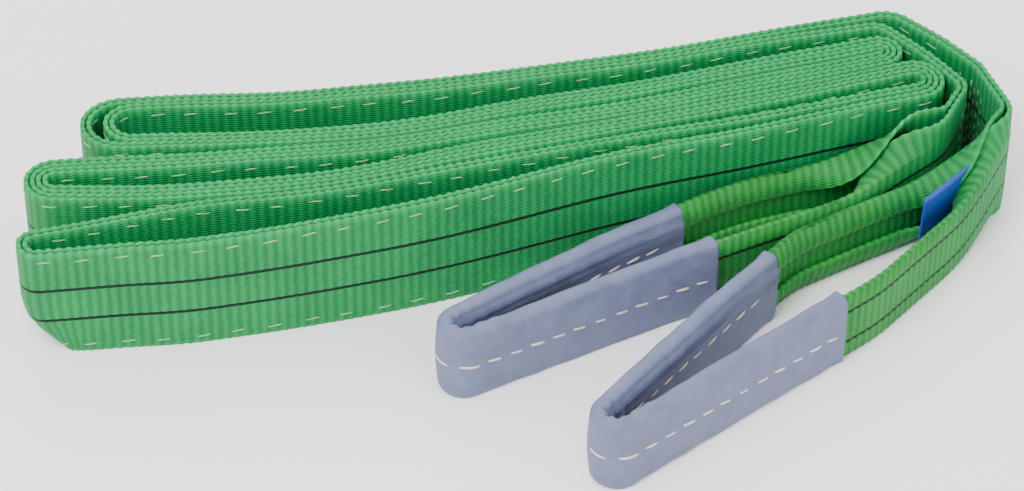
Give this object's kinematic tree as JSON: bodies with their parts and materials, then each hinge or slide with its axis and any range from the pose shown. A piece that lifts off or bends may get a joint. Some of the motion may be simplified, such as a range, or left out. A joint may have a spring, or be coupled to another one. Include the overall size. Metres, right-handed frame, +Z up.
{
  "type": "flat web sling",
  "caption": "Two-ply flat web sling with soft eyes in wear sleeves, folded for storage; a label hangs in one eye.",
  "frame": {"origin": "centre of the underside of the folded sling's box", "axes": "+Z up from the floor that the web stands on, +X along the folded bundle, -Y towards the side that the eyes lie on"},
  "size_m": [0.4712, 0.2708, 0.06],
  "materials": {
    "webbing": "green woven polyester webbing with two black warp stripes",
    "thread": "off-white polyester sewing thread",
    "sleeve": "grey-blue coated wear sleeve, slightly grained",
    "label": "plain blue label material"
  },
  "bodies": {
    "bundle": {"web_ply_1": "webbing", "web_ply_2": "webbing", "seam_thread_upper": "thread", "seam_thread_lower": "thread", "crotch_stitches_a": "thread", "crotch_stitches_b": "thread"},
    "eye_a": {"eye_a_web": "webbing", "eye_a_wear_sleeve": "sleeve", "eye_a_sleeve_stitches": "thread"},
    "eye_b": {"eye_b_web": "webbing", "eye_b_wear_sleeve": "sleeve", "eye_b_sleeve_stitches": "thread"},
    "label": {"label": "label"}
  },
  "joints": [
    {"name": "eye_b_swing", "type": "hinge", "parent": "bundle", "child": "eye_b", "pos_m": [0.23279, 0.02009, 0], "axis": [0, 0, 1], "range_deg": [0, 75]},
    {"name": "eye_a_swing", "type": "hinge", "parent": "bundle", "child": "eye_a", "pos_m": [0.21339, 0.01559, 0], "axis": [0, 0, 1], "range_deg": [0, 75]},
    {"name": "label_flap", "type": "hinge", "parent": "eye_b", "child": "label", "pos_m": [0.23059, -0.00221, 0.004], "axis": [0, 0, 1], "range_deg": [-3, 5]}
  ],
  "couplings": [
    {"joint": "eye_a_swing", "follows": "eye_b_swing", "ratio": 1}
  ]
}
